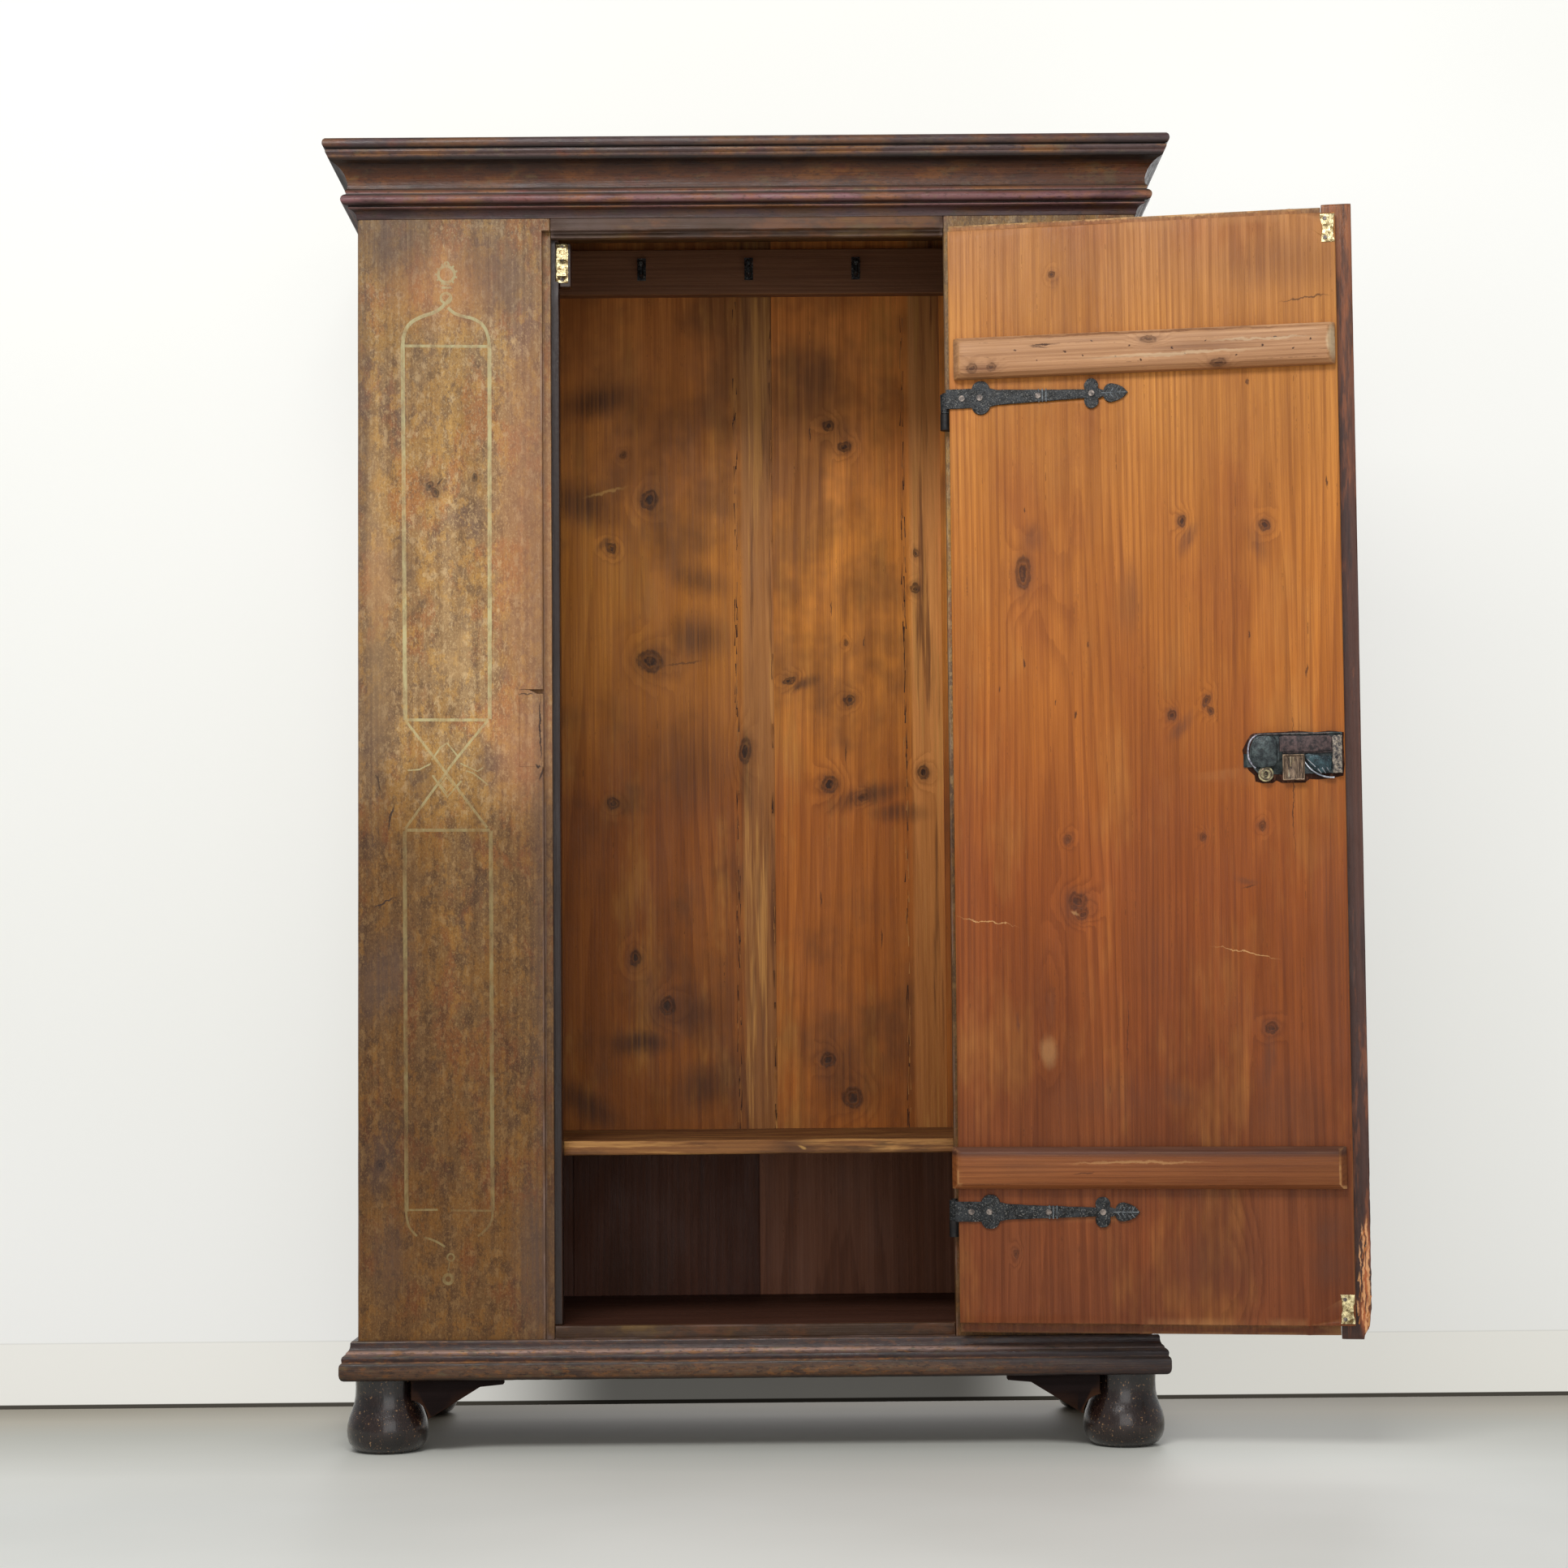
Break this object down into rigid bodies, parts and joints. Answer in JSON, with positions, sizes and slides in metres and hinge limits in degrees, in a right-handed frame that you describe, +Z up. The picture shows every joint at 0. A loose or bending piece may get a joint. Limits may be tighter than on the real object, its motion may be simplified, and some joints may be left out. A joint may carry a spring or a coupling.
{
  "type": "wardrobe cupboard",
  "caption": "Single-door wooden wardrobe on bun feet with moulded cornice and plinth, standing open on strap hinges; inside a shelf over a low compartment and a coat rail.",
  "frame": {"origin": "centre of the object's bounding box at floor level, door open as in the picture", "axes": "+X to the right as one faces the front, +Y into the cupboard, +Z up"},
  "size_m": [1.389, 0.6248, 1.7845],
  "materials": {
    "case_wood": "stained and waxed pine, mottled",
    "moulding_wood": "dark stained pine, rubbed",
    "dark_stained_wood": "near-black stained turned wood",
    "door_wood": "bare aged pine",
    "lining_wood": "bare aged pine, dusty",
    "edge_wood": "dark stained softwood",
    "ironwork": "forged iron, dark patina",
    "lock_iron": "sheet iron, dark patina",
    "spring_steel": "tempered steel",
    "steel": "steel, dulled",
    "bronze": "tarnished bronze",
    "brass": "brass, dulled"
  },
  "bodies": {
    "carcass": {"cabinet_floor": "lining_wood", "cabinet_top": "lining_wood", "catch_block": "edge_wood", "catch_body": "brass", "coat_hooks": "ironwork", "foot_blocks": "lining_wood", "foot_brackets": "moulding_wood", "frame_screws": "steel", "front_cornice": "moulding_wood", "front_left_foot": "dark_stained_wood", "front_plinth": "moulding_wood", "front_right_foot": "dark_stained_wood", "head_rail": "case_wood", "hook_rail": "lining_wood", "left_cornice": "moulding_wood", "left_plinth": "moulding_wood", "left_side": "case_wood", "left_stile": "case_wood", "lower_back_board_1": "lining_wood", "lower_back_board_2": "lining_wood", "lower_back_board_3": "lining_wood", "lower_back_board_4": "lining_wood", "lower_catch_spring": "spring_steel", "lower_pintle": "ironwork", "rear_left_foot": "dark_stained_wood", "rear_right_foot": "dark_stained_wood", "right_cornice": "moulding_wood", "right_plinth": "moulding_wood", "right_side": "case_wood", "right_stile": "case_wood", "shelf": "lining_wood", "shelf_cleats": "lining_wood", "sill_rail": "case_wood", "stile_patch": "edge_wood", "stop_batten": "edge_wood", "upper_back_board_1": "lining_wood", "upper_back_board_2": "lining_wood", "upper_back_board_3": "lining_wood", "upper_back_board_4": "lining_wood", "upper_catch_spring": "spring_steel", "upper_pintle": "ironwork"},
    "door": {"closing_strip": "edge_wood", "door_board_1": "door_wood", "door_board_2": "door_wood", "door_board_3": "door_wood", "door_screws": "steel", "lock_case": "lock_iron", "lock_key_pin": "bronze", "lock_spring": "spring_steel", "lock_staple": "bronze", "lock_tumbler": "lock_iron", "lower_hinge_strap": "ironwork", "lower_ledge": "door_wood", "scutcheon": "brass", "strikes": "brass", "upper_hinge_strap": "ironwork", "upper_ledge": "door_wood"},
    "lock_bolt": {"lock_bolt": "lock_iron"},
    "upper_catch_ball": {"upper_catch_ball": "steel"},
    "lower_catch_ball": {"lower_catch_ball": "steel"}
  },
  "joints": [
    {"name": "door_hinge", "type": "hinge", "parent": "carcass", "child": "door", "pos_m": [0.15367, -0.17442, 0.8], "axis": [0, 0, 1], "range_deg": [-170.35, 5]},
    {"name": "lock_bolt_slide", "type": "slide", "parent": "door", "child": "lock_bolt", "axis": [0.9859, -0.1676, 0], "range_m": [0, 0.014]},
    {"name": "upper_ball_slide", "type": "slide", "parent": "carcass", "child": "upper_catch_ball", "axis": [0, 0, 1], "range_m": [0, 0.0016], "stiffness_N_per_m": 300, "deforming": ["upper_catch_spring"]},
    {"name": "lower_ball_slide", "type": "slide", "parent": "carcass", "child": "lower_catch_ball", "axis": [0, 0, -1], "range_m": [0, 0.0016], "stiffness_N_per_m": 300, "deforming": ["lower_catch_spring"]}
  ]
}
